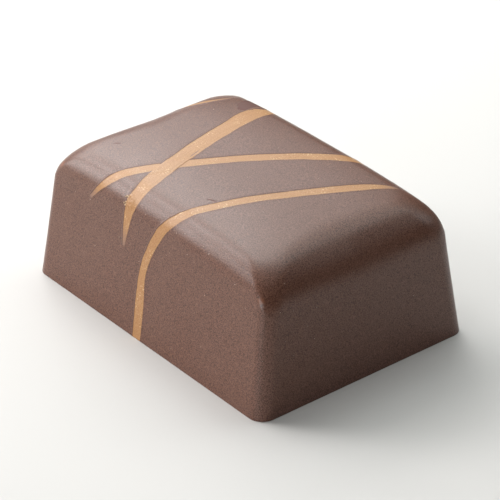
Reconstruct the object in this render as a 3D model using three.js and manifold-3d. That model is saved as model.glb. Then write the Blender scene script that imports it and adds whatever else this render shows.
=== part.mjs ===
// A moulded chocolate bonbon: a small oblong block with drafted walls, a pillowed top, softly rounded top
// edges and four thin brushed strokes of coloured cocoa butter that run over it.
// Millimetres, +Z up, the long side along X, the origin in the middle of the flat underside.

import * as THREE from 'three';
import { mergeVertices } from 'three/addons/utils/BufferGeometryUtils.js';
import Module from 'manifold-3d';

// ---- Driving dimensions of the moulded block ------------------------------------------------------------

const LENGTH = 34; // at the foot, along X
const WIDTH = 24.3; // at the foot, along Y
const EDGE_HEIGHT = 12.4; // height that the walls and fillets alone reach
const CROWN_ALONG = 0.85; // extra height in the middle, lost towards the short ends
const CROWN_ACROSS = 0.95; // extra height in the middle, lost towards the long sides
const CROWN_POWER = 3; // the higher, the flatter the middle and the later the fall
// A wall leans in by its draft, in degrees, and turns over into the top in a fillet. The fillet's curvature
// fades out over its soft stretches, at the wall and at the top.
const LONG_WALL = { draft: 8.5, radius: 2.15, softWall: 0.6, softTop: 1.3 };
const END_WALL = { draft: 5, radius: 3.9, softWall: 1, softTop: 2.65 };
const END_WALL_AT_CORNER = { draft: 5, radius: 3.2, softWall: 0.9, softTop: 2.15 };
const SLIMMING = 1.3; // how late an end's fillet slims down towards the corners, as a power
const CORNER_AT_FOOT = 1.5; // plan radius of the upright corners
const CORNER_AT_FILLET = 1.35; // where the fillets start
const CORNER_AT_TOP = 2.7; // where the fillets meet the top
const CORNER_GROWTH = 0.8; // how late the radius grows over the fillets, as a power

// ---- Driving dimensions of the strokes ------------------------------------------------------------------

const RELIEF = 0.12; // how far a stroke stands proud of the chocolate
const ROOT = 0.4; // how deep a stroke reaches into the chocolate, so that it fuses
const ROUTE_TENSION = 0.5; // how tightly a stroke's route runs through its points
const CORE_HALF_LENGTH = 9; // a line inside the block, from which strokes are projected outwards
const CORE_HEIGHT = 4;

// Each stroke is a list of [x, y, z, width]. The points lie close to the surface and are moved onto it, and a
// brush tip is a point of hardly any width.
const STROKES = [
  // the broad one, over both long sides
  [
    [-4.05, -11.1, 8.1, 0.2], [-3.96, -10.8, 9.6, 0.6], [-3.78, -10.6, 11.2, 0.98],
    [-3.58, -10.2, 12.4, 1.36], [-3.42, -9.1, 13.6, 1.5], [-4.1, -6.7, 14, 1.66], [-5.1, -3.4, 14.1, 1.7],
    [-6.2, 0.2, 14.2, 1.7], [-7.1, 3.8, 14.1, 1.7], [-7.85, 6.8, 14, 1.9], [-7.95, 9.3, 13.3, 1.75],
    [-7.7, 10.4, 11.4, 1.2], [-7.6, 10.9, 9.1, 0.15],
  ],
  // the fine one that crosses it
  [
    [-9.5, -10.7, 10.7, 0.2], [-8.4, -10.4, 12, 0.45], [-7.3, -9.6, 13.2, 0.85], [-5.8, -7.3, 14, 1.05],
    [-3.5, -3.1, 14.2, 1.05], [-1.2, 0.9, 14.2, 1.05], [1.35, 4.7, 14.1, 1.05], [3.6, 7.7, 14, 1.05],
    [5.1, 9.4, 13.3, 1.1], [6.1, 10.4, 11.4, 0.8], [6.8, 10.8, 9.6, 0.15],
  ],
  // the long one, from the foot of the front side to a tip at the back edge
  [
    [-1, -12.15, 0.02, 1.07], [-1, -11.7, 3.6, 1.12], [-1, -11.3, 6.4, 0.85], [-0.4, -11, 8.8, 0.85],
    [0.9, -10.6, 11.4, 0.92], [2.3, -9.7, 13.2, 0.93], [3.3, -7.7, 13.9, 0.93], [5.1, -3.1, 14.2, 0.95],
    [7, 1, 14.2, 0.97], [9, 5.3, 14, 0.95], [10.05, 7.35, 13.8, 0.6], [11.1, 8.75, 13.5, 0.15],
  ],
  // the one that sweeps over the far short end
  [
    [-12.2, 8.3, 13.5, 0.15], [-12.8, 6.2, 13.7, 0.5], [-13.6, 4.2, 13.4, 0.8], [-15, 2.6, 12.6, 1],
    [-16, 1.4, 10.4, 1], [-16.4, 0.6, 7.6, 0.6], [-16.6, 0.2, 5.4, 0.15],
  ],
];

// ---- How finely each stretch is divided -----------------------------------------------------------------

const WALL_STEPS = 3;
const FILLET_STEPS = 8;
const FILLET_PARTS = 20; // the short stretches that each step of a fillet is summed from
const TOP_STEPS = 6;
const LONG_SIDE_STEPS = 12;
const SHORT_SIDE_STEPS = 9;
const CORNER_STEPS = 4;
const STROKE_STEPS_PER_POINT = 2;
const STROKE_STEPS_ACROSS = 2;

const QUARTER_TURN = Math.PI / 2;
const MERGE_DISTANCE = 1e-4; // vertices closer than this are one vertex
const CHOCOLATE = { color: 0x7b5f54, roughness: 0.45, metalness: 0 };

// ---- The moulded block ----------------------------------------------------------------------------------

// A fillet's section: [inset, height] where it starts and after each of its steps. The inset is measured from
// the foot line.
function filletSection({ draft, radius, softWall, softTop }) {
  const slope = THREE.MathUtils.degToRad(draft);
  const length = radius * (QUARTER_TURN - slope) + (softWall + softTop) / 2;
  const stretch = length / (FILLET_STEPS * FILLET_PARTS);
  const run = [[0, 0]];
  let [lean, inset, height] = [slope, 0, 0];
  for (let part = 1; part <= FILLET_STEPS * FILLET_PARTS; part += 1) {
    const along = (part - 0.5) * stretch;
    const turn = (stretch / radius) * Math.min(1, along / softWall, (length - along) / softTop);
    inset += stretch * Math.sin(lean + turn / 2);
    height += stretch * Math.cos(lean + turn / 2);
    lean += turn;
    if (part % FILLET_PARTS === 0) {
      run.push([inset, height]);
    }
  }
  const wallTop = EDGE_HEIGHT - height;
  return run.map(([x, z]) => [wallTop * Math.tan(slope) + x, wallTop + z]);
}

const LONG_SECTION = filletSection(LONG_WALL);
const END_SECTION = filletSection(END_WALL);
const END_SECTION_AT_CORNER = filletSection(END_WALL_AT_CORNER);

// A wall's [inset, height] at a level: 0 at the foot, 1 where the fillet starts, 2 where it meets the top.
function wallSection(fillet, level) {
  if (level <= 1) {
    return fillet[0].map((value) => value * level);
  }
  return fillet[Math.round((level - 1) * FILLET_STEPS)];
}

// The plan outline, anticlockwise. `core` runs round a rectangle and waits at its corners, and `out` is the
// outward direction, which turns only there.
function outlineStations() {
  const corners = [[1, -1], [1, 1], [-1, 1], [-1, -1]].map(([x, y]) => new THREE.Vector2(x, y));
  const stations = [];
  corners.forEach((corner, index) => {
    for (let step = 0; step < CORNER_STEPS; step += 1) {
      const angle = QUARTER_TURN * (index - 1 + step / CORNER_STEPS);
      stations.push({ core: corner, out: new THREE.Vector2(Math.cos(angle), Math.sin(angle)) });
    }
    const next = corners[(index + 1) % corners.length];
    const steps = index % 2 ? LONG_SIDE_STEPS : SHORT_SIDE_STEPS;
    const angle = QUARTER_TURN * index;
    for (let step = 0; step < steps; step += 1) {
      const core = corner.clone().lerp(next, step / steps);
      stations.push({ core, out: new THREE.Vector2(Math.cos(angle), Math.sin(angle)) });
    }
  });
  return stations;
}

// The rings from the middle of the underside, up the walls and in to the middle of the top. `reach` is how
// far out from the middle a ring lies, 1 on the walls.
function ringLevels() {
  const rings = [{ level: 0, reach: 0 }];
  for (let step = 0; step <= WALL_STEPS; step += 1) {
    rings.push({ level: step / WALL_STEPS, reach: 1 });
  }
  for (let step = 1; step <= FILLET_STEPS; step += 1) {
    rings.push({ level: 1 + step / FILLET_STEPS, reach: 1 });
  }
  for (let step = TOP_STEPS - 1; step >= 0; step -= 1) {
    rings.push({ level: 2, reach: step / TOP_STEPS });
  }
  return rings;
}

// How much the pillowed top adds over a point of the plan.
function crown(x, y) {
  const along = Math.abs((2 * x) / LENGTH) ** CROWN_POWER;
  const across = Math.abs((2 * y) / WIDTH) ** CROWN_POWER;
  return CROWN_ALONG * (1 - along) + CROWN_ACROSS * (1 - across);
}

// The plan radius of the upright corners, which grows over the fillets.
function cornerRadius(level) {
  return level <= 1
    ? THREE.MathUtils.lerp(CORNER_AT_FOOT, CORNER_AT_FILLET, level)
    : THREE.MathUtils.lerp(CORNER_AT_FILLET, CORNER_AT_TOP, (level - 1) ** CORNER_GROWTH);
}

// The point of the block at a ring and a station. The long and the short walls have sections of their own,
// which blend round the corners, and the short walls' fillets slim down towards the corners.
function blockPoint({ level, reach }, { core, out }) {
  const [sideInset, sideHeight] = wallSection(LONG_SECTION, level);
  const slimness = Math.abs(core.y) ** SLIMMING;
  const atCorner = wallSection(END_SECTION_AT_CORNER, level);
  const [endInset, endHeight] = wallSection(END_SECTION, level).map((value, index) => (
    THREE.MathUtils.lerp(value, atCorner[index], slimness)
  ));
  const corner = cornerRadius(level);
  const x = reach * (core.x * (LENGTH / 2 - endInset - corner) + out.x * corner);
  const y = reach * (core.y * (WIDTH / 2 - sideInset - corner) + out.y * corner);
  const height = THREE.MathUtils.lerp(sideHeight, endHeight, out.x ** 2);
  return new THREE.Vector3(x, y, height * (1 + crown(x, y) / EDGE_HEIGHT));
}

// A turned form with one vertex for each ring and station, each then moved out to the block's own point.
function blockGeometry() {
  const rings = ringLevels();
  const stations = outlineStations();
  const profile = rings.map(({ level, reach }) => {
    const [inset, height] = wallSection(LONG_SECTION, level);
    return new THREE.Vector2(reach * (WIDTH / 2 - inset), height);
  });
  const geometry = new THREE.LatheGeometry(profile, stations.length);
  const position = geometry.getAttribute('position');
  for (let index = 0; index < position.count; index += 1) {
    const ring = rings[index % rings.length];
    const station = stations[Math.floor(index / rings.length) % stations.length];
    const point = blockPoint(ring, station);
    position.setXYZ(index, point.x, point.y, point.z);
  }
  return closed(geometry);
}

// ---- The strokes ----------------------------------------------------------------------------------------

// The direction outwards through a point, from the nearest point of the core line.
function outwards(point) {
  const half = CORE_HALF_LENGTH;
  const origin = new THREE.Vector3(THREE.MathUtils.clamp(point.x, -half, half), 0, CORE_HEIGHT);
  return new THREE.Ray(origin, point.clone().sub(origin).normalize());
}

// Moves a point outwards or inwards onto the block, then `lift` further out.
function onBlock(block, point, lift = 0) {
  const { origin, direction } = outwards(point);
  const [hit] = new THREE.Raycaster(origin, direction).intersectObject(block);
  return hit.point.addScaledVector(direction, lift);
}

// A flat box whose length follows the stroke and whose width is the stroke's, bent onto the block.
function strokeGeometry(block, points) {
  const places = points.map(([x, y, z]) => new THREE.Vector3(x, y, z));
  const route = new THREE.CatmullRomCurve3(places, false, 'catmullrom', ROUTE_TENSION);
  const spans = points.length - 1;
  const steps = spans * STROKE_STEPS_PER_POINT;
  const geometry = new THREE.BoxGeometry(1, 1, 1, steps, STROKE_STEPS_ACROSS, 1);
  const position = geometry.getAttribute('position');
  for (let index = 0; index < position.count; index += 1) {
    const travel = position.getX(index) + 0.5;
    const aside = position.getY(index);
    const lift = position.getZ(index) > 0 ? RELIEF : -ROOT;
    const span = Math.min(Math.floor(travel * spans), spans - 1);
    const width = THREE.MathUtils.lerp(points[span][3], points[span + 1][3], travel * spans - span);
    const middle = onBlock(block, route.getPoint(travel));
    const sideways = outwards(middle).direction.cross(route.getTangent(travel)).normalize();
    const point = onBlock(block, middle.addScaledVector(sideways, aside * width), lift);
    position.setXYZ(index, point.x, point.y, point.z);
  }
  return closed(geometry);
}

// ---- Joining --------------------------------------------------------------------------------------------

// Shares the vertices of a geometry that closes on itself, and drops the triangles that have no area.
function closed(geometry) {
  geometry.deleteAttribute('normal');
  geometry.deleteAttribute('uv');
  const merged = mergeVertices(geometry, MERGE_DISTANCE);
  const corners = Array.from(merged.getIndex().array);
  const kept = [];
  for (let index = 0; index < corners.length; index += 3) {
    const triangle = corners.slice(index, index + 3);
    if (new Set(triangle).size === 3) {
      kept.push(...triangle);
    }
  }
  merged.setIndex(kept);
  return merged;
}

function toSolid(wasm, geometry) {
  const vertProperties = new Float32Array(geometry.getAttribute('position').array);
  const triVerts = new Uint32Array(geometry.getIndex().array);
  return new wasm.Manifold(new wasm.Mesh({ numProp: 3, vertProperties, triVerts }));
}

function toGeometry(solid) {
  const { vertProperties, triVerts } = solid.getMesh();
  const geometry = new THREE.BufferGeometry();
  geometry.setAttribute('position', new THREE.Float32BufferAttribute(vertProperties, 3));
  geometry.setIndex(Array.from(triVerts));
  geometry.computeVertexNormals();
  return geometry;
}

// The block with its strokes, as one solid. A stroke that runs to the foot is cut off flush there.
async function bonbonGeometry() {
  const wasm = await Module();
  wasm.setup();
  const seenFromInside = new THREE.MeshBasicMaterial({ side: THREE.BackSide });
  const block = new THREE.Mesh(blockGeometry(), seenFromInside);
  const below = new THREE.BoxGeometry(2 * LENGTH, 2 * WIDTH, EDGE_HEIGHT);
  below.translate(0, 0, -EDGE_HEIGHT / 2);
  let solid = toSolid(wasm, block.geometry);
  for (const points of STROKES) {
    solid = solid.add(toSolid(wasm, strokeGeometry(block, points)));
  }
  return toGeometry(solid.subtract(toSolid(wasm, closed(below))));
}

// ---- The part -------------------------------------------------------------------------------------------

const bonbon = new THREE.Mesh(await bonbonGeometry(), new THREE.MeshStandardMaterial(CHOCOLATE));
bonbon.name = 'bonbon';

const part = new THREE.Group();
part.add(bonbon);

export default part;
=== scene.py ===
"""A moulded chocolate bonbon: an oblong block of milk chocolate with drafted walls and a pillowed top, and
thin brushed strokes of caramel-coloured cocoa butter over it. Sizes are in millimetres, and each finished
mesh is scaled to metres."""

import math
import random

import bmesh
import bpy
from mathutils import Matrix, Vector, kdtree, noise
from mathutils.bvhtree import BVHTree


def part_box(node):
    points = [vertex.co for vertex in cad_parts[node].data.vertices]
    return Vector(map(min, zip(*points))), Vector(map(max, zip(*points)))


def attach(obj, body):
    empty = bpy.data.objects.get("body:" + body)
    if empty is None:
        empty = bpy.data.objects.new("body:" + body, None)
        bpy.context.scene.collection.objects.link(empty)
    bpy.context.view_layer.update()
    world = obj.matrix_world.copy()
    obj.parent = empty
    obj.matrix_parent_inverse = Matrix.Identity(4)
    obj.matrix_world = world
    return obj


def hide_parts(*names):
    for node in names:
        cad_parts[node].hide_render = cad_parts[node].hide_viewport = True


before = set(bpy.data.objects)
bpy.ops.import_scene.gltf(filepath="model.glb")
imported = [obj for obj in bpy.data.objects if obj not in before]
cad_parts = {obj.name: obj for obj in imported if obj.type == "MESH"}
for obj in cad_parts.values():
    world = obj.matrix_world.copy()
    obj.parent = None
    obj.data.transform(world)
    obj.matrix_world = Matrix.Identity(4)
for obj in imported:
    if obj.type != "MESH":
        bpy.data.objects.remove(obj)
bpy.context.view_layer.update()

MM = 0.001
NODE = "bonbon"
SAME_PLACE = 1e-4  # points nearer to each other than this count as one
node_low, node_high = (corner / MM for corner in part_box(NODE))

# ---- The moulded block ------------------------------------------------------------------------------------

RELIEF = 0.12  # how far the strokes stand out of the block in the frame
LENGTH = node_high.x - node_low.x  # at the foot
WIDTH = 2 * node_high.y  # at the foot, whose far side no stroke reaches
CROWN_ALONG = 0.85  # extra height in the middle, lost towards the short ends
CROWN_ACROSS = 0.95  # extra height in the middle, lost towards the long sides
CROWN_POWER = 3
EDGE_HEIGHT = node_high.z - RELIEF - CROWN_ALONG - CROWN_ACROSS  # of the walls and fillets alone
# A fillet's curvature fades out over its soft stretches, at the wall and at the top.
LONG_WALL = {"draft": math.radians(8.5), "radius": 2.15, "soft_wall": 0.6, "soft_top": 1.3}
END_WALL = {"draft": math.radians(5), "radius": 3.9, "soft_wall": 1.0, "soft_top": 2.65}
END_WALL_AT_CORNER = {"draft": math.radians(5), "radius": 3.2, "soft_wall": 0.9, "soft_top": 2.15}
SLIMMING = 1.3  # how late the end fillets slim down towards the corners, as a power
CORNER_AT_FOOT = 1.5  # plan radius of the upright corners
CORNER_AT_FILLET = 1.35  # where the top fillets start
CORNER_AT_TOP = 2.7
CORNER_GROWTH = 0.8  # how late the radius grows over the fillets, as a power
FOOT_EDGE = 0.04  # the crisp scraped edge between the walls and the underside
FOOT_EDGE_STEPS = 3

BLOCK_CELLS = 96  # along each edge of the cube that is shaped into the block
CORNER_SHARE = 1 / 6  # of half a side's cells, for half an upright corner
WALL_SHARE = 0.5  # of the cells up a side, for the wall under the fillet
UNEVEN = 0.012  # slight waviness of a real casting
UNEVEN_SPAN = 6.0

# ---- The strokes ------------------------------------------------------------------------------------------

# The cocoa butter was cast against the mould, so its film is nearly flush with the chocolate, which stands up
# a little along the film's border, with a small step down to the film.
FILM = 0.006  # how far the film stands out of the block
# A border is the chocolate beside the film: how wide it is, how wide the step down to the film is, how high
# the chocolate swells beside the step, and how ragged the film's edge is.
CAST_BORDER = {"margin": 0.28, "step": 0.055, "swell": 0.03, "rag": 0.025}
RAGGED_BORDER = {"margin": 0.06, "step": 0.05, "swell": 0.004, "rag": 0.2}
FAINT_SWELL = 0.004  # how high it swells along the edge without the painted dark shade line
RAG_SPAN = 0.35
WAVER = 0.05  # how far the film's edge also wanders, in longer waves
WAVER_SPAN = 1.3
EDGES_APART = 3  # keeps the noise of one edge apart from that of the other
CROSSING_RISE = 0.035  # how much further the broad stroke stands out where it lies over another one
CROSSING_RAMP = 0.4
SHOULDER = 0.08  # how wide the edge slope of a fold or a crossing is
SUNK_EDGE = 0.012  # how far the mesh's very edge dips under the block, so that no gap shows
SUNK_WIDTH = 0.03
TIP_SLOPE = 0.3  # how long the slope at a brush tip is
ROOT = 0.12  # how deep a stroke reaches into the chocolate
CORE_HALF_LENGTH = 9  # a line inside the block, from which strokes are projected outwards
CORE_HEIGHT = 4
STROKE_STEP = 0.12  # cell length along a stroke
STROKE_CELLS_ACROSS = 44
LOOK_AHEAD = 0.01  # share of the way along a stroke, to each side, over which its direction is taken
ROUTE_SAMPLES = 300  # places kept of a stroke that another one crosses
NARROWEST = 0.05  # a stroke's width at the least
BRISTLE = 0.16  # spacing of the ridges that the brush leaves
BRISTLE_RUN = 2.4  # how far a ridge runs
BRISTLE_RELIEF = 0.005
BRUSH_TIP = 0.3  # a stroke that starts or ends narrower than this fades out there in a brush tip
UV_SPAN = 10  # millimetres of stroke for one unit of its UV map

# Each stroke is a list of (x, y, z, width). The points lie close to the surface and are moved onto it.
BROAD_STROKE = [
    (-4.05, -11.1, 8.1, 0.2), (-3.96, -10.8, 9.6, 0.6), (-3.78, -10.6, 11.2, 0.98),
    (-3.58, -10.2, 12.4, 1.36), (-3.42, -9.1, 13.6, 1.5), (-4.1, -6.7, 14, 1.66),
    (-5.1, -3.4, 14.1, 1.7), (-6.2, 0.2, 14.2, 1.7), (-7.1, 3.8, 14.1, 1.7),
    (-7.85, 6.8, 14, 1.9), (-7.95, 9.3, 13.3, 1.75), (-7.7, 10.4, 11.4, 1.2),
    (-7.6, 10.9, 9.1, 0.15),
]
FINE_STROKE = [
    (-9.5, -10.7, 10.7, 0.2), (-8.4, -10.4, 12, 0.45), (-7.3, -9.6, 13.2, 0.85), (-5.8, -7.3, 14, 1.05),
    (-3.5, -3.1, 14.2, 1.05), (-1.2, 0.9, 14.2, 1.05), (1.35, 4.7, 14.1, 1.05), (3.6, 7.7, 14, 1.05),
    (5.1, 9.4, 13.3, 1.1), (6.1, 10.4, 11.4, 0.8), (6.8, 10.8, 9.6, 0.15),
]
LONG_STROKE = [
    (-1, -12.15, 0.02, 1.07), (-1, -11.7, 3.6, 1.12), (-1, -11.3, 6.4, 0.85), (-0.4, -11, 8.8, 0.85),
    (0.9, -10.6, 11.4, 0.92), (2.3, -9.7, 13.2, 0.93), (3.3, -7.7, 13.9, 0.93), (5.1, -3.1, 14.2, 0.95),
    (7, 1, 14.2, 0.97), (9.0, 5.3, 14, 0.95), (10.05, 7.35, 13.8, 0.6), (11.1, 8.75, 13.5, 0.12),
]
END_STROKE = [
    (-12.2, 8.3, 13.5, 0.15), (-12.8, 6.2, 13.7, 0.35), (-13.6, 4.2, 13.4, 0.55), (-15, 2.6, 12.6, 0.85),
    (-16, 1.4, 10.4, 1.0), (-16.4, 0.6, 7.6, 0.6), (-16.6, 0.2, 5.4, 0.15),
]
BROAD_SEED = 0  # of its unevenness
# Each of the others is (name, points, seed of its unevenness).
OTHER_STROKES = [
    ("fine_stroke", FINE_STROKE, 11),
    ("long_stroke", LONG_STROKE, 22),
    ("end_stroke", END_STROKE, 33),
]

# A fine groove runs beside one edge of the broad stroke and leaves a bead there.
GROOVE_INSET = 0.26
GROOVE_HALF_WIDTH = 0.07
GROOVE_DEPTH = 0.006
GROOVE_START = 0.3  # as shares of the stroke's length
GROOVE_END = 0.6
GROOVE_STEEPNESS = 12  # how soon it deepens after its start and before its end

# The film is crumpled where the broad stroke turns over the edge of the top, and lies double above a fold.
CRUMPLE_AT = Vector((-4.1, -10.25, 12.4))
CRUMPLE_REACH = 1.1
CRUMPLE_STEEPNESS = 1.5  # how soon it starts within its reach
CRUMPLE_SPAN = 0.22
CRUMPLE_RELIEF = 0.09
CRUMPLE_RAG = 0.15  # how ragged the edge gets there
FOLD_HEIGHT = 12.05
FOLD_RELIEF = 0.03

# ---- Small marks ------------------------------------------------------------------------------------------

# A thin dull sheet of painted shade on the far fillet by the broad stroke's far end, and two dark scuffs,
# laid like the strokes.
FAR_FILLET_SHADE = [
    (-9.3, 6.9, 13.9, 0.7), (-9.5, 7.5, 13.8, 1.5), (-9.7, 8.2, 13.7, 2.3), (-9.75, 9.2, 13.3, 2.6),
    (-9.9, 10.3, 12.0, 2.5), (-10.0, 10.9, 10.2, 1.4), (-10.0, 11.2, 8.6, 0.3),
]
SCUFFS = [
    [(-11.9, -6.3, 13.7, 0.06), (-11.5, -6.0, 13.8, 0.14), (-11.1, -5.8, 13.9, 0.06)],
    [(2.2, -6.3, 14, 0.06), (2.8, -6.05, 14.1, 0.12), (3.5, -5.9, 14.1, 0.06)],
]
SHADE_SHEET_FILM = 0.014
SHADE_SHEET_SEED = 44
SCUFF_FILM = 0.01
SCUFF_SEED = 55
SCUFF_CELLS_ACROSS = 8

# The lift and the chipping of flakes and specks are shares of their size, and their tilt is in radians.
CHIP_SEED = 5  # of the noise that chips their corners
FLAKE_SEED = 7
FLAKES = 18
FLAKE_HEAPS = [Vector((-4.4, -10.1, 12.7)), Vector((-4.38, -10.4, 12.15))]
FLAKE_SPREAD = (0.1, 0.08, 0.12)  # about the middle of a heap
FLAKE_SIZE = (0.04, 0.1)
FLAKE_BREADTH = (0.5, 0.9)  # as a share of its length
FLAKE_TAPER = 0.8  # its upper face against the lower one
FLAKE_THICKNESS = 0.05
FLAKE_SIDES = 7
FLAKE_TILT = 0.7
FLAKE_LIFT = 0.3
FLAKE_CHIPPING = 0.25
FLAKE_CHIP_SPAN = 0.08

SPECK_SEED = 31
SPECKS = 160
SPECK_FIELD = [(-20, 20), (-15, 15), (2, 18)]  # their places are drawn here and then moved onto the surface
SPECK_SIZE = (0.012, 0.032)
LARGE_SPECK = (0.034, 0.05)
SPECK_BREADTH = (0.5, 1)  # as a share of its length
SPECK_HEIGHT = (0.5, 0.8)
SPECK_TILT = 0.4
SPECK_LIFT = 0.4
SPECK_CHIPPING = 0.3
SPECK_CHIP_SPAN = 0.05
CLEAR_OF_FOOT = 0.3  # no speck lies lower
LARGE_SPECKS = [
    (8.8, 5.3, 14.0), (3.1, -10.3, 12.4), (5.0, -10.6, 11.2), (7.7, -10.3, 12.4), (11.7, -10.6, 11.3),
    (-1.6, -11.1, 7.6), (9.2, -8.5, 13.7), (4.1, -10.1, 12.7), (7.9, -11, 8.5), (-6.1, -9.8, 13),
    (-9.5, -10.7, 10.4), (-1.4, -10.3, 12.3), (-8.2, -11.3, 6.3), (15.2, -7.9, 12), (16.1, -9.1, 10),
    (-11, 4.9, 13.9),
]
ANY_TURN = (0, 6.3)  # in radians, all the way round

# ---- The finishes -----------------------------------------------------------------------------------------

FAT_IOR = 1.45  # of chocolate and of cocoa butter, which are both mostly fat
BUMP_DEPTH = 0.02  # of the grain's relief
# The real grain is some hundredths of a millimetre. It is drawn as coarse as it needs to show.
GRAIN = 0.1
HUE_GRAIN = 0.15
CLOUD_SPAN = 3.5
DULL_GRAIN = 0.13
DRY_GRAIN = 0.09
# The flecks of pearl pigment are drawn larger than the real ones too.
PEARL_FLECK = 0.14
PEARL_DRIFT = 1.6
STREAK_SHARE = 0.3  # of the brush's streaks in the film's tone, against the grain
DARK_CHOCOLATE = ("#47291c", "#432920")  # of the dark grains, in two hues
LIGHT_CHOCOLATE = ("#7c5644", "#79554a")  # of the light ones
CLOUDED_CHOCOLATE = "#765a4d"
CORNER_SHADE_CHOCOLATE = "#7c4f3a"
# Painted shade: the dark line beside one edge of each film.
EDGE_SHADE_CHOCOLATE = "#4a3330"
# Painted shade in the fine groove.
GROOVE_SHADE_CARAMEL = "#8c6540"
THIN_CARAMEL = "#866758"
PEARL = "#d6b78e"
# These pairs go from dark to light.
CARAMEL = ("#996b42", "#b4885c")
# Painted shade on the sheet by the broad stroke's far end, and the scuffs' own colour.
SHADE_AND_SCUFF_CHOCOLATE = ("#4e2e27", "#663f35")
FLAKE_COLOURS = ("#b8946e", "#e2c8a4")
DUST_COLOURS = ("#b79f8c", "#d8c6b6")

# Painted shade: a warmer, redder brown at two top corners, where the sheen ends.
SHADED_CORNERS = [(15.05, -10.45, 11.2), (-14.5, -10.3, 11.9)]
CORNER_SHADE_SIZE = 0.45
CORNER_SHADE_RAG = 0.4

# ---- The camera -------------------------------------------------------------------------------------------

CAMERA_AZIMUTH = 51.42
CAMERA_ELEVATION = 30.906
CAMERA_ROLL = -0.378
CAMERA_DISTANCE = 237.89
CAMERA_LENS = 185.27
CAMERA_SENSOR = 36
CAMERA_NEAREST = 10  # nothing nearer is seen
CAMERA_HEIGHT = 6.057  # of the point on the bonbon's axis that the camera is laid out from
CAMERA_SHIFT_RIGHT = 0.344  # sideways and upward moves that put the bonbon where the photograph has it
CAMERA_SHIFT_UP = -0.627

# ---- The studio -------------------------------------------------------------------------------------------

SOFTBOX_DISTANCE = 300
# Each softbox is (name, azimuth, elevation, width, height, power in watts). Azimuth 0 is -Y and 90 is +X.
SOFTBOXES = [
    ("left_softbox", -100, 33, 220, 160, 0.495),
    ("back_left_softbox", -145, 62, 330, 230, 0.474),
    ("overhead_softbox", -150, 85, 300, 300, 0.140),
    ("high_left_softbox", -115, 62, 110, 110, 0.136),
    ("far_left_softbox", -130, 33, 110, 110, 0.082),
    ("high_key_softbox", -70, 47, 110, 110, 0.323),
    ("key_softbox", -55, 33, 110, 110, 0.215),
    ("low_key_softbox", -55, 20, 110, 110, 0.275),
    ("low_front_softbox", -40, 20, 110, 110, 0.097),
    ("front_reflector", 12, 8, 180, 75, 0.350),
    ("right_reflector", 148, 33, 110, 110, 0.045),
    ("back_right_reflector", 165, 33, 110, 110, 0.060),
]
WHITE = "#ffffff"
COOL_WHITE = "#ebf7f6"  # a little cool, as daylight is
COOL_SOFTBOXES = ["back_left_softbox"]
ROOM_LIGHT = 0.0  # the softboxes give all the light
FLOOR_COLOUR = "#d4d1ce"
FLOOR_REACH = 1500  # from the middle to each side


def clamp(value, low, high):
    return max(low, min(high, value))


def lerp(start, end, share):
    return start + (end - start) * share


def smoothstep(value):
    share = clamp(value, 0, 1)
    return share * share * (3 - 2 * share)


# ---- Shape of the block -----------------------------------------------------------------------------------

def wall_profile(wall):
    """Inset from the foot line and height at even steps over the fillet, from the wall's end to the top."""
    length = wall["radius"] * (math.pi / 2 - wall["draft"]) + (wall["soft_wall"] + wall["soft_top"]) / 2
    steps = round(BLOCK_CELLS * (1 - WALL_SHARE))
    step = length / steps
    lean, inset, height = wall["draft"], 0, 0
    points = [(inset, height)]
    for index in range(steps):
        along = (index + 0.5) * step
        soften = min(1, along / wall["soft_wall"], (length - along) / wall["soft_top"])
        turn = soften * step / wall["radius"]
        inset += step * math.sin(lean + turn / 2)
        height += step * math.cos(lean + turn / 2)
        lean += turn
        points.append((inset, height))
    wall_top = EDGE_HEIGHT - height
    return [(wall_top * math.tan(wall["draft"]) + inset, wall_top + height) for inset, height in points]


def wall_section(profile, level):
    """Inset and height at a level: 0 at the foot, 1 where the fillet starts, 2 at its end."""
    if level <= 1:
        inset, height = profile[0]
        return inset * level, height * level
    place = (level - 1) * (len(profile) - 1)
    index = min(int(place), len(profile) - 2)
    (inset, height), (next_inset, next_height) = profile[index:index + 2]
    return lerp(inset, next_inset, place - index), lerp(height, next_height, place - index)


def plan_station(spot):
    """Where a spot of a square lies along the plan outline: the core point that it belongs to, from -1 to 1
    each way, and its outward direction."""
    along_x = abs(spot.x) >= abs(spot.y)
    major, minor = (spot.x, spot.y) if along_x else (spot.y, spot.x)
    share = minor / abs(major) if major else 0
    straight = 1 - CORNER_SHARE
    core_minor = clamp(share / straight, -1, 1)
    turn = math.pi / 4 * (share - core_minor * straight) / CORNER_SHARE
    sign = math.copysign(1, major)
    core, out = (sign, core_minor), (sign * math.cos(turn), math.sin(turn))
    return (core, out) if along_x else (core[::-1], out[::-1])


def crown(x, y):
    """How much the pillowed top adds over a point of the plan."""
    along = abs(2 * x / LENGTH) ** CROWN_POWER
    across = abs(2 * y / WIDTH) ** CROWN_POWER
    return CROWN_ALONG * (1 - along) + CROWN_ACROSS * (1 - across)


def block_point(spot, long_profile, end_profile, corner_profile):
    """The point of the block that a spot on a cube from -1 to 1 is moved to."""
    reach = max(abs(spot.x), abs(spot.y))
    climb = (spot.z + 1) / 2
    level = climb / WALL_SHARE if climb < WALL_SHARE else 1 + (climb - WALL_SHARE) / (1 - WALL_SHARE)
    core, out = plan_station(spot)
    side_inset, side_height = wall_section(long_profile, level)
    end_inset, end_height = (
        lerp(middle, at_corner, abs(core[1]) ** SLIMMING)
        for middle, at_corner in zip(wall_section(end_profile, level), wall_section(corner_profile, level))
    )
    corner = lerp(CORNER_AT_FOOT, CORNER_AT_FILLET, min(level, 1))
    corner = lerp(corner, CORNER_AT_TOP, max(level - 1, 0) ** CORNER_GROWTH)
    x = reach * (core[0] * (LENGTH / 2 - end_inset - corner) + out[0] * corner)
    y = reach * (core[1] * (WIDTH / 2 - side_inset - corner) + out[1] * corner)
    height = lerp(side_height, end_height, out[0] ** 2)
    return Vector((x, y, height * (1 + crown(x, y) / EDGE_HEIGHT)))


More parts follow.
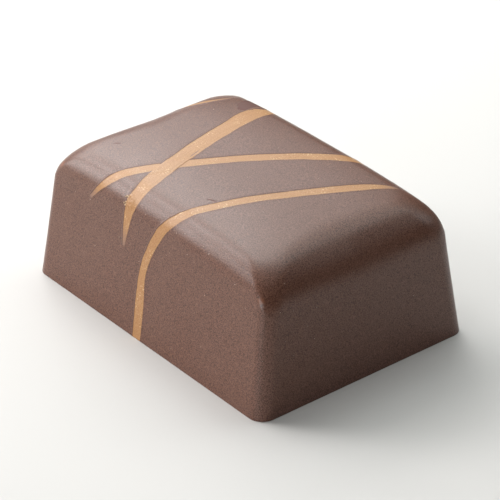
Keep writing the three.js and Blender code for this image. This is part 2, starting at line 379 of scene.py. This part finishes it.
def uneven(point):
    """A point moved in by the slight waviness of the casting, which dies out towards the foot."""
    fade = smoothstep(point.z / UNEVEN_SPAN)
    depth = UNEVEN * fade * (1 + noise.noise(point / UNEVEN_SPAN))
    middle = Vector((clamp(point.x, -CORE_HALF_LENGTH, CORE_HALF_LENGTH), 0, CORE_HEIGHT))
    return point + (middle - point).normalized() * depth


def at_foot_edge(spot):
    """Whether a spot of the cube from -1 to 1 lies on the edge of its lowest face."""
    return abs(spot.z + 1) < SAME_PLACE and max(abs(spot.x), abs(spot.y)) > 1 - SAME_PLACE


def block_mesh():
    """A cube with a fine grid on each face, shaped into the block, with the edge of its foot bevelled."""
    bm = bmesh.new()
    bmesh.ops.create_cube(bm, size=2)
    bmesh.ops.subdivide_edges(bm, edges=bm.edges[:], cuts=BLOCK_CELLS - 1, use_grid_fill=True)
    foot_edges = [edge for edge in bm.edges if all(at_foot_edge(vert.co) for vert in edge.verts)]
    profiles = wall_profile(LONG_WALL), wall_profile(END_WALL), wall_profile(END_WALL_AT_CORNER)
    for vert in bm.verts:
        vert.co = uneven(block_point(vert.co, *profiles))
    bmesh.ops.bevel(
        bm, geom=foot_edges, offset=FOOT_EDGE, offset_type="OFFSET", segments=FOOT_EDGE_STEPS, profile=0.5,
        affect="EDGES", material=-1, clamp_overlap=True,
    )
    bmesh.ops.recalc_face_normals(bm, faces=bm.faces[:])
    return bm


# ---- Shape of a stroke ------------------------------------------------------------------------------------

def outwards(point):
    """The nearest point of the core line, and the direction from it through a point."""
    origin = Vector((clamp(point.x, -CORE_HALF_LENGTH, CORE_HALF_LENGTH), 0, CORE_HEIGHT))
    return origin, (point - origin).normalized()


def onto(surface, point, lift=0):
    """The point moved outwards or inwards onto the surface, then lifted."""
    origin, direction = outwards(point)
    hit = surface.ray_cast(origin, direction)[0]
    return hit + direction * lift


def above_foot(point):
    """The point, or the one above it on the level of the foot."""
    return Vector((point.x, point.y, max(point.z, 0)))


def route_point(points, travel):
    """The place and width at a share of the way along a smooth route through the points."""
    spans = len(points) - 1
    span = min(int(travel * spans), spans - 1)
    t = travel * spans - span
    before, start, end, after = (Vector(points[clamp(span + step, 0, spans)]) for step in (-1, 0, 1, 2))
    bend = 2 * start + (end - before) * t
    bend += (2 * before - 5 * start + 4 * end - after) * t ** 2
    bend += (3 * start - before - 3 * end + after) * t ** 3
    return (bend / 2).to_3d(), max(bend[3] / 2, NARROWEST)


def route_direction(points, travel):
    """Which way a route runs at a share of the way along it."""
    ahead, _ = route_point(points, min(travel + LOOK_AHEAD, 1))
    behind, _ = route_point(points, max(travel - LOOK_AHEAD, 0))
    return ahead - behind


def route_tree(surface, points):
    """A search tree of places along a route, and the widths there."""
    tree, widths = kdtree.KDTree(ROUTE_SAMPLES + 1), []
    for index in range(ROUTE_SAMPLES + 1):
        middle, width = route_point(points, index / ROUTE_SAMPLES)
        tree.insert(onto(surface, middle), index)
        widths.append(width)
    tree.balance()
    return tree, widths


def crumple(point):
    """How crumpled the film is at a point, from 0 to 1."""
    return smoothstep(CRUMPLE_STEEPNESS * (1 - (point - CRUMPLE_AT).length / CRUMPLE_REACH))


def groove(travel, inside, aside):
    """How deep the fine groove is, at a share of the way along and a distance in from the edge."""
    if aside > 0:
        return 0
    fade = smoothstep(GROOVE_STEEPNESS * (travel - GROOVE_START))
    fade *= smoothstep(GROOVE_STEEPNESS * (GROOVE_END - travel))
    return fade * math.exp(-((inside - GROOVE_INSET) / GROOVE_HALF_WIDTH) ** 2)


def wander(run, seed, aside, rag, crumpling):
    """How far the film's edge wanders off its even line. Each of its two edges wanders in its own way."""
    side = math.copysign(EDGES_APART, aside)
    wobble = WAVER * noise.noise(Vector((run / WAVER_SPAN, seed, side)))
    wobble += rag * noise.noise(Vector((run / RAG_SPAN, seed, side)))
    if aside > 0:
        wobble += CRUMPLE_RAG * crumpling * noise.noise(Vector((run / CRUMPLE_SPAN, seed, side)))
    return wobble


def from_tips(points, run, length):
    """How far a place is from the nearer brush tip, or the whole length where a stroke has none."""
    from_start = run if points[0][3] < BRUSH_TIP else length
    from_end = length - run if points[-1][3] < BRUSH_TIP else length
    return min(from_start, from_end)


def crossing(point, beneath, margin):
    """How free a point is of the stroke beneath, from 0 to 1, and how far the film rises to lie over that."""
    tree, widths = beneath
    _, index, distance = tree.find(point)
    past_it = distance - widths[index] / 2
    free = smoothstep(past_it / SHOULDER + 1)
    return free, CROSSING_RISE * smoothstep(1 - (past_it - margin) / CROSSING_RAMP)


def stroke_lift(inside, border, level, free, shade_side):
    """How far a stroke's surface stands out of the block at a distance in from the mesh's edge: the gentle
    swelling beside the film, which dives under a stroke that it crosses, then the step to the film's level.
    The swelling is full along the edge that gets the painted dark shade line and faint along the other one."""
    swell = lerp(FAINT_SWELL, border["swell"], shade_side)
    swell *= smoothstep(inside / (border["margin"] - border["step"]))
    beside = lerp(-SUNK_EDGE, swell, free)
    return lerp(beside, level, smoothstep((inside - border["margin"]) / border["step"] + 1))


def lay_with_root(bm, places):
    """Gives the grid a second layer with walls between the two, and moves each vertex and its copy to their
    places, on the surface and at the root."""
    made = bmesh.ops.extrude_face_region(bm, geom=bm.faces[:], use_keep_orig=True)
    matching = {tuple(vert.co): root for vert, (_, root) in places.items()}
    for part in made["geom"]:
        if isinstance(part, bmesh.types.BMVert):
            part.co = matching[tuple(part.co)]
    for vert, (upper, _) in places.items():
        vert.co = upper
    bmesh.ops.remove_doubles(bm, verts=bm.verts[:], dist=SAME_PLACE)
    bmesh.ops.recalc_face_normals(bm, faces=bm.faces[:])


def stroke_mesh(
    surface, points, seed, film=FILM, border=CAST_BORDER, across=STROKE_CELLS_ACROSS,
    crumpled=False, beneath=None,
):
    """A fine grid laid along the stroke and pressed onto the block, given a brushed film and a root.
    The grid keeps how far each point lies inside the film's edge and from the brush tips, how deep it is in
    the fine groove, and how near the edge that gets the painted dark shade line."""
    length = sum((Vector(b[:3]) - Vector(a[:3])).length for a, b in zip(points, points[1:]))
    bm = bmesh.new()
    bmesh.ops.create_grid(bm, x_segments=round(length / STROKE_STEP), y_segments=across, size=1)
    uv_layer = bm.loops.layers.uv.new("brushed")
    edge_layer, tip_layer, groove_layer, shade_side_layer = (
        bm.verts.layers.float.new(name) for name in ("edge", "tip", "groove", "shade_side")
    )
    places = {}
    for vert in bm.verts:
        travel = (vert.co.x + 1) / 2
        aside = math.sin(vert.co.y * math.pi / 2)
        middle, width = route_point(points, travel)
        middle = onto(surface, middle)
        sideways = outwards(middle)[1].cross(route_direction(points, travel)).normalized()
        run = travel * length
        tip = from_tips(points, run, length)
        wobble = wander(run, seed, aside, border["rag"], crumple(middle) if crumpled else 0)
        half = width / 2 + border["margin"] + wobble * min(1, width)
        inside = (1 - abs(aside)) * half
        point = onto(surface, middle + sideways * aside * half)
        direction = outwards(point)[1]
        bristle = Vector((run / BRISTLE_RUN, aside * half / BRISTLE, seed))
        level = film + BRISTLE_RELIEF * noise.noise(bristle)
        free = 1
        if beneath:
            free, rise = crossing(point, beneath, border["margin"])
            level += rise
        if crumpled:
            vert[groove_layer] = groove(travel, inside - border["margin"], aside)
            level -= GROOVE_DEPTH * vert[groove_layer]
            doubled = FOLD_RELIEF * smoothstep((point.z - FOLD_HEIGHT) / SHOULDER)
            level += crumple(point) * (doubled + CRUMPLE_RELIEF * abs(noise.noise(point / CRUMPLE_SPAN)))
        shown = smoothstep(inside / SUNK_WIDTH) * smoothstep(tip / TIP_SLOPE)
        shade_side = smoothstep(aside + 0.5)  # 0 along one edge and 1 along the other, which gets the full swell and the painted dark shade line
        lift = lerp(-SUNK_EDGE, stroke_lift(inside, border, level, free, shade_side), shown)
        places[vert] = (above_foot(point + direction * lift), above_foot(point - direction * ROOT))
        vert[edge_layer] = inside - border["margin"]
        vert[tip_layer] = tip
        vert[shade_side_layer] = shade_side
        for loop in vert.link_loops:
            loop[uv_layer].uv = (run / UV_SPAN, aside * half / UV_SPAN)
    lay_with_root(bm, places)
    return bm


# ---- Shape of the small things ----------------------------------------------------------------------------

def placed(point, normal, turn, tilt, shape):
    """A matrix that stands a small thing on a point, turned, tilted and stretched."""
    stand = normal.to_track_quat("Z", "Y").to_matrix().to_4x4()
    lean = Matrix.Rotation(turn, 4, "Z") @ Matrix.Rotation(tilt, 4, "X")
    return Matrix.Translation(point) @ stand @ lean @ Matrix.Diagonal((*shape, 1))


def chip(verts, span, share, size):
    """Moves the corners of a small thing a little, so that it looks broken off."""
    for vert in verts:
        vert.co += noise.noise_vector(vert.co / span) * share * size


def flakes_mesh(surface):
    """Loose brittle flakes of cocoa butter at the ragged edge of the broad stroke."""
    draw = random.Random(FLAKE_SEED)
    bm = bmesh.new()
    for _ in range(FLAKES):
        place = draw.choice(FLAKE_HEAPS) + Vector([draw.gauss(0, spread) for spread in FLAKE_SPREAD])
        radius = draw.uniform(*FLAKE_SIZE)
        point = onto(surface, place, FLAKE_LIFT * radius)
        shape = (1, draw.uniform(*FLAKE_BREADTH), 1)
        turn = draw.uniform(*ANY_TURN)
        tilt = draw.gauss(0, FLAKE_TILT)
        made = bmesh.ops.create_cone(
            bm, cap_ends=True, segments=FLAKE_SIDES, radius1=radius, radius2=FLAKE_TAPER * radius,
            depth=FLAKE_THICKNESS, matrix=placed(point, outwards(point)[1], turn, tilt, shape),
        )
        chip(made["verts"], FLAKE_CHIP_SPAN, FLAKE_CHIPPING, radius)
    bmesh.ops.recalc_face_normals(bm, faces=bm.faces[:])
    return bm


def specks_mesh(surface):
    """Dust of cocoa butter: crumbs like grains of fine flour, scattered over the whole surface."""
    draw = random.Random(SPECK_SEED)
    crumbs = [(Vector(place), draw.uniform(*LARGE_SPECK)) for place in LARGE_SPECKS]
    for _ in range(SPECKS):
        place = Vector([draw.uniform(*span) for span in SPECK_FIELD])
        crumbs.append((place, draw.uniform(*SPECK_SIZE)))
    bm = bmesh.new()
    for place, size in crumbs:
        point = onto(surface, place, SPECK_LIFT * size)
        if point.z < CLEAR_OF_FOOT:
            continue
        shape = (1, draw.uniform(*SPECK_BREADTH), draw.uniform(*SPECK_HEIGHT))
        turn = draw.uniform(*ANY_TURN)
        tilt = draw.gauss(0, SPECK_TILT)
        made = bmesh.ops.create_icosphere(
            bm, subdivisions=1, radius=size, matrix=placed(point, outwards(point)[1], turn, tilt, shape),
        )
        chip(made["verts"], SPECK_CHIP_SPAN, SPECK_CHIPPING, size)
    bmesh.ops.recalc_face_normals(bm, faces=bm.faces[:])
    return bm


# ---- Materials --------------------------------------------------------------------------------------------

def linear(hex_colour):
    """An sRGB hex colour as the linear colour that a socket takes."""
    channels = [int(hex_colour[start:start + 2], 16) / 255 for start in (1, 3, 5)]
    return [c / 12.92 if c <= 0.04045 else ((c + 0.055) / 1.055) ** 2.4 for c in channels] + [1.0]


def per_metre(grain):
    """The scale of a noise whose grain is that many millimetres, on coordinates in metres."""
    return 1 / (grain * MM)


def new_material(name):
    material = bpy.data.materials.new(name)
    material.use_nodes = True
    material.node_tree.nodes.clear()
    return material


def add(material, kind, inputs=None, output=None, **settings):
    """Adds a node with its settings, and gives its named or first live output. The inputs go by their names,
    or by their numbers where names repeat. One that is given a socket is linked, and any other is set."""
    made = material.node_tree.nodes.new("ShaderNode" + kind)
    for name, value in settings.items():
        setattr(made, name, value)
    for name, value in (inputs or {}).items():
        socket = next(s for i, s in enumerate(made.inputs) if s.enabled and name in (s.name, i))
        if isinstance(value, bpy.types.NodeSocket):
            material.node_tree.links.new(value, socket)
        else:
            socket.default_value = value
    if made.outputs:
        return next(socket for socket in made.outputs if socket.enabled and output in (None, socket.name))


def patch(material, place, centre, size, rag):
    """A soft round mask about a point of the surface. Its ragged rim lies at 0.4 to 1.6 times its size, which
    is in millimetres."""
    distance = add(material, "VectorMath", {0: place, 1: Vector(centre) * MM}, "Value", operation="DISTANCE")
    ragged = add(material, "TexNoise", {"Vector": place, "Scale": per_metre(rag), "Detail": 2.0})
    reach = add(material, "MapRange", {"Value": ragged, "To Min": 0.4 * size * MM, "To Max": 1.6 * size * MM})
    share = add(material, "Math", {0: distance, 1: reach}, operation="DIVIDE")
    return add(material, "MapRange", {
        "Value": share, "From Min": 1.0, "From Max": 0.3,
    }, interpolation_type="SMOOTHSTEP")


def chocolate_colour(material, place):
    """The mottled colour of milk chocolate, with the grain and the clouds that it comes from."""
    grain = add(material, "TexNoise", {"Vector": place, "Scale": per_metre(GRAIN), "Detail": 1.0})
    hue_grain = add(material, "TexNoise", {"Vector": place, "Scale": per_metre(HUE_GRAIN), "Detail": 1.0})
    cloud = add(material, "TexNoise", {"Vector": place, "Scale": per_metre(CLOUD_SPAN), "Detail": 3.0})
    tone = add(material, "MapRange", {"Value": grain, "From Min": 0.33, "From Max": 0.67})
    hue = add(material, "MapRange", {"Value": hue_grain, "From Min": 0.1, "From Max": 0.9})
    dark, light = (
        add(material, "Mix", {"Factor": hue, "A": linear(first), "B": linear(second)}, data_type="RGBA")
        for first, second in (DARK_CHOCOLATE, LIGHT_CHOCOLATE)
    )
    colour = add(material, "Mix", {"Factor": tone, "A": dark, "B": light}, data_type="RGBA")
    clouding = add(material, "MapRange", {
        "Value": cloud, "From Min": 0.3, "From Max": 0.7, "To Min": 0.0, "To Max": 0.14,
    })
    colour = add(material, "Mix", {
        "Factor": clouding, "A": colour, "B": linear(CLOUDED_CHOCOLATE),
    }, data_type="RGBA")
    return colour, grain, cloud


def milk_chocolate():
    """Tempered milk chocolate released from a smooth mould. It is satin, so broad lights fade softly over it,
    and a fine matt grain and faint clouds break its sheen. A warmer, redder brown is painted at two top
    corners as shade, where the sheen ends."""
    material = new_material("tempered_milk_chocolate")
    place = add(material, "TexCoord", output="Object")
    colour, grain, cloud = chocolate_colour(material, place)
    near_corner, left_corner = (
        patch(material, place, corner, CORNER_SHADE_SIZE, CORNER_SHADE_RAG) for corner in SHADED_CORNERS
    )
    # Painted shade at the two top corners.
    corner_shade = add(material, "Math", {0: near_corner, 1: left_corner}, operation="MAXIMUM")
    colour = add(material, "Mix", {
        "Factor": corner_shade, "A": colour, "B": linear(CORNER_SHADE_CHOCOLATE),
    }, data_type="RGBA")
    sheen = add(material, "MapRange", {
        "Value": cloud, "From Min": 0.3, "From Max": 0.7, "To Min": 0.33, "To Max": 0.38,
    })
    bump = add(material, "Bump", {"Height": grain, "Strength": 0.5, "Distance": BUMP_DEPTH * MM})
    shader = add(material, "BsdfPrincipled", {
        "Base Color": colour, "Roughness": sheen, "IOR": FAT_IOR, "Normal": bump,
    })
    add(material, "OutputMaterial", {"Surface": shader})
    return material


def caramel_film(material, place, grain, streaked, tip):
    """The colour of the caramel film: streaked, flecked with pearl pigment, with painted shade darkening the
    fine groove, and thinned out to a greyish veil in the brush tips."""
    tone = add(material, "MapRange", {"Value": streaked, "From Min": 0.3, "From Max": 0.7})
    dark, light = CARAMEL
    caramel = add(material, "Mix", {"Factor": tone, "A": linear(dark), "B": linear(light)}, data_type="RGBA")

    drift = add(material, "TexNoise", {"Vector": place, "Scale": per_metre(PEARL_DRIFT), "Detail": 2.0})
    pearl = add(material, "TexNoise", {"Vector": place, "Scale": per_metre(PEARL_FLECK), "Detail": 0.0})
    pearly = add(material, "MapRange", {"Value": pearl, "From Min": 0.62, "From Max": 0.8})
    drifted = add(material, "MapRange", {"Value": drift, "From Min": 0.45, "From Max": 0.65})
    fleck = add(material, "Math", {0: pearly, 1: drifted}, operation="MULTIPLY")
    caramel = add(material, "Mix", {"Factor": fleck, "A": caramel, "B": linear(PEARL)}, data_type="RGBA")

    # Painted shade: the film darkens in the fine groove.
    grooved = add(material, "Attribute", attribute_name="groove", output="Fac")
    groove_shade = add(material, "Math", {0: grooved, 1: 0.3}, operation="MULTIPLY")
    caramel = add(material, "Mix", {
        "Factor": groove_shade, "A": caramel, "B": linear(GROOVE_SHADE_CARAMEL),
    }, data_type="RGBA")

    worn = add(material, "MapRange", {"Value": grain, "To Min": -0.3, "To Max": 0.3})
    thickness = add(material, "Math", {0: tip, 1: 0.3, 2: worn}, operation="MULTIPLY_ADD")
    thinness = add(material, "MapRange", {
        "Value": thickness, "From Min": 0.0, "From Max": 1.1, "To Min": 1.0, "To Max": 0.0,
    }, interpolation_type="SMOOTHSTEP")
    return add(material, "Mix", {
        "Factor": thinness, "A": caramel, "B": linear(THIN_CARAMEL),
    }, data_type="RGBA")


def chocolate_with_edge_shade(material, chocolate, edge):
    """The chocolate beside the film, with a dark line of painted shade along one of the film's edges."""
    step = CAST_BORDER["step"]
    near = add(material, "MapRange", {
        "Value": edge, "From Min": -2.5 * step, "From Max": -step, "To Max": 0.8,
    })
    shade_side = add(material, "Attribute", attribute_name="shade_side", output="Fac")
    near = add(material, "Math", {0: near, 1: shade_side}, operation="MULTIPLY")
    return add(material, "Mix", {
        "Factor": near, "A": chocolate, "B": linear(EDGE_SHADE_CHOCOLATE),
    }, data_type="RGBA")


def cocoa_butter():
    """Coloured cocoa butter, brushed into the mould: a caramel film with a satin sheen, fine streaks along
    the stroke and a faint pearly shimmer. The chocolate beside it is its own milk brown, with a dark line of
    painted shade along one edge of the film."""
    material = new_material("caramel_cocoa_butter")
    place = add(material, "TexCoord", output="Object")
    brushed = add(material, "UVMap", uv_map="brushed")
    edge = add(material, "Attribute", attribute_name="edge", output="Fac")
    tip = add(material, "Attribute", attribute_name="tip", output="Fac")
    chocolate, grain, _ = chocolate_colour(material, place)

    bristles = add(material, "Mapping", {
        "Vector": brushed, "Scale": (UV_SPAN / BRISTLE_RUN, UV_SPAN / BRISTLE, 1),
    })
    streak = add(material, "TexNoise", {"Vector": bristles, "Scale": 1.0, "Detail": 2.0})
    streaked = add(material, "Mix", {"Factor": STREAK_SHARE, "A": grain, "B": streak})
    caramel = caramel_film(material, place, grain, streaked, tip)
    step = CAST_BORDER["step"]
    film = add(material, "MapRange", {"Value": edge, "From Min": -step, "From Max": -0.3 * step})
    # The chocolate beside the film, with a dark line of painted shade along one edge.
    beside = chocolate_with_edge_shade(material, chocolate, edge)
    colour = add(material, "Mix", {"Factor": film, "A": beside, "B": caramel}, data_type="RGBA")

    bump = add(material, "Bump", {"Height": streaked, "Strength": 0.35, "Distance": BUMP_DEPTH * MM})
    shader = add(material, "BsdfPrincipled", {
        "Base Color": colour, "Roughness": 0.38, "IOR": FAT_IOR, "Specular IOR Level": 0.42, "Normal": bump,
    })
    add(material, "OutputMaterial", {"Surface": shader})
    return material


def shade_and_scuff_chocolate():
    """Milk chocolate, darker and rougher than the moulded skin. On the sheet by the broad stroke's far end
    its darker colour is painted shade; on the scuffs it is their own colour.
    """
    material = new_material("painted_shade_and_scuff_chocolate")
    place = add(material, "TexCoord", output="Object")
    grain = add(material, "TexNoise", {"Vector": place, "Scale": per_metre(DULL_GRAIN), "Detail": 2.0})
    dark, light = SHADE_AND_SCUFF_CHOCOLATE
    colour = add(material, "Mix", {"Factor": grain, "A": linear(dark), "B": linear(light)}, data_type="RGBA")
    bump = add(material, "Bump", {"Height": grain, "Strength": 0.5, "Distance": BUMP_DEPTH * MM})
    shader = add(material, "BsdfPrincipled", {
        "Base Color": colour, "Roughness": 0.6, "IOR": FAT_IOR, "Normal": bump,
    })
    add(material, "OutputMaterial", {"Surface": shader})
    return material


def dry_cocoa_butter(name, dark, light):
    """Set cocoa butter that has broken off: brittle and matt, paler than the film that it came from."""
    material = new_material(name)
    place = add(material, "TexCoord", output="Object")
    grain = add(material, "TexNoise", {"Vector": place, "Scale": per_metre(DRY_GRAIN), "Detail": 2.0})
    colour = add(material, "Mix", {"Factor": grain, "A": linear(dark), "B": linear(light)}, data_type="RGBA")
    shader = add(material, "BsdfPrincipled", {"Base Color": colour, "Roughness": 0.55, "IOR": FAT_IOR})
    add(material, "OutputMaterial", {"Surface": shader})
    return material


def studio_floor():
    """A plain pale matt floor."""
    material = new_material("pale_floor")
    shader = add(material, "BsdfPrincipled", {
        "Base Color": linear(FLOOR_COLOUR), "Roughness": 0.9, "Specular IOR Level": 0.0,
    })
    add(material, "OutputMaterial", {"Surface": shader})
    return material


# ---- Pieces -----------------------------------------------------------------------------------------------

def new_object(name, bm, material):
    """The bmesh as an object in metres, smooth, at the origin."""
    bmesh.ops.scale(bm, vec=(MM, MM, MM), verts=bm.verts[:])
    for face in bm.faces:
        face.smooth = True
    mesh = bpy.data.meshes.new(name)
    bm.to_mesh(mesh)
    bm.free()
    mesh.materials.append(material)
    made = bpy.data.objects.new(name, mesh)
    bpy.context.scene.collection.objects.link(made)
    return made


def new_piece(name, bm, material):
    """A piece of the bonbon, which stands for the node together with the others."""
    piece = new_object(name, bm, material)
    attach(piece, "root")
    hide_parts(NODE)
    return piece


def make_strokes(surface):
    """The brushed strokes, of which the broad one is crumpled at an end and lies over the fine one."""
    caramel = cocoa_butter()
    beneath = route_tree(surface, FINE_STROKE)
    broad = stroke_mesh(surface, BROAD_STROKE, BROAD_SEED, crumpled=True, beneath=beneath)
    new_piece("broad_stroke", broad, caramel)
    for name, points, seed in OTHER_STROKES:
        new_piece(name, stroke_mesh(surface, points, seed), caramel)


def make_small_marks(surface):
    """The sheet of painted shade and the scuffs, laid like strokes, and the loose flakes and dust."""
    noise.seed_set(CHIP_SEED)
    shade_and_scuff = shade_and_scuff_chocolate()
    # The sheet by the broad stroke's far end is painted shade: a dark, dull film where the far fillet falls
    # into shade.
    shade_sheet = stroke_mesh(surface, FAR_FILLET_SHADE, SHADE_SHEET_SEED, film=SHADE_SHEET_FILM, border=RAGGED_BORDER)
    new_piece("painted_shade_sheet", shade_sheet, shade_and_scuff)
    for number, points in enumerate(SCUFFS, start=1):
        scuff = stroke_mesh(
            surface, points, SCUFF_SEED + number,
            film=SCUFF_FILM, border=RAGGED_BORDER, across=SCUFF_CELLS_ACROSS,
        )
        new_piece(f"scuff_{number}", scuff, shade_and_scuff)
    flake_finish = dry_cocoa_butter("flaked_cocoa_butter", *FLAKE_COLOURS)
    new_piece("edge_flakes", flakes_mesh(surface), flake_finish)
    dust_finish = dry_cocoa_butter("cocoa_butter_dust", *DUST_COLOURS)
    new_piece("dust_specks", specks_mesh(surface), dust_finish)


def make_bonbon():
    block = block_mesh()
    surface = BVHTree.FromBMesh(block)
    new_piece("chocolate_block", block, milk_chocolate())
    make_strokes(surface)
    make_small_marks(surface)


# ---- Studio -----------------------------------------------------------------------------------------------

def away(azimuth, elevation):
    """The direction away from the bonbon. Azimuth 0 is -Y and 90 is +X, in degrees."""
    a, e = math.radians(azimuth), math.radians(elevation)
    return Vector((math.sin(a) * math.cos(e), -math.cos(a) * math.cos(e), math.sin(e)))


def add_camera():
    back = away(CAMERA_AZIMUTH, CAMERA_ELEVATION)
    right = Vector((0, 0, 1)).cross(back).normalized()
    up = back.cross(right)
    aim = Vector((0, 0, CAMERA_HEIGHT)) + right * CAMERA_SHIFT_RIGHT + up * CAMERA_SHIFT_UP
    turned = Matrix((right, up, back)).transposed() @ Matrix.Rotation(math.radians(CAMERA_ROLL), 3, "Z")
    data = bpy.data.cameras.new("camera")
    data.lens = CAMERA_LENS
    data.sensor_width = CAMERA_SENSOR
    data.clip_start = CAMERA_NEAREST * MM
    camera = bpy.data.objects.new("camera", data)
    camera.matrix_world = Matrix.Translation((aim + back * CAMERA_DISTANCE) * MM) @ turned.to_4x4()
    bpy.context.scene.collection.objects.link(camera)
    bpy.context.scene.camera = camera


def add_softbox(name, azimuth, elevation, width, height, power):
    """A soft rectangular light that faces the bonbon."""
    data = bpy.data.lights.new(name, "AREA")
    data.shape = "RECTANGLE"
    data.size = width * MM
    data.size_y = height * MM
    data.energy = power
    data.color = linear(COOL_WHITE if name in COOL_SOFTBOXES else WHITE)[:3]
    lamp = bpy.data.objects.new(name, data)
    back = away(azimuth, elevation)
    lamp.location = back * SOFTBOX_DISTANCE * MM
    lamp.rotation_euler = back.to_track_quat("Z", "Y").to_euler()
    lamp.visible_camera = False
    bpy.context.scene.collection.objects.link(lamp)


def add_floor():
    bm = bmesh.new()
    bmesh.ops.create_grid(bm, x_segments=1, y_segments=1, size=FLOOR_REACH)
    floor = new_object("floor", bm, studio_floor())


def add_world(strength):
    world = bpy.data.worlds.new("studio")
    world.use_nodes = True
    background = world.node_tree.nodes["Background"]
    background.inputs["Color"].default_value = linear(WHITE)
    background.inputs["Strength"].default_value = strength
    bpy.context.scene.world = world


make_bonbon()
add_floor()
add_world(ROOM_LIGHT)
for softbox in SOFTBOXES:
    add_softbox(*softbox)
add_camera()
bpy.context.scene.view_settings.view_transform = "Standard"
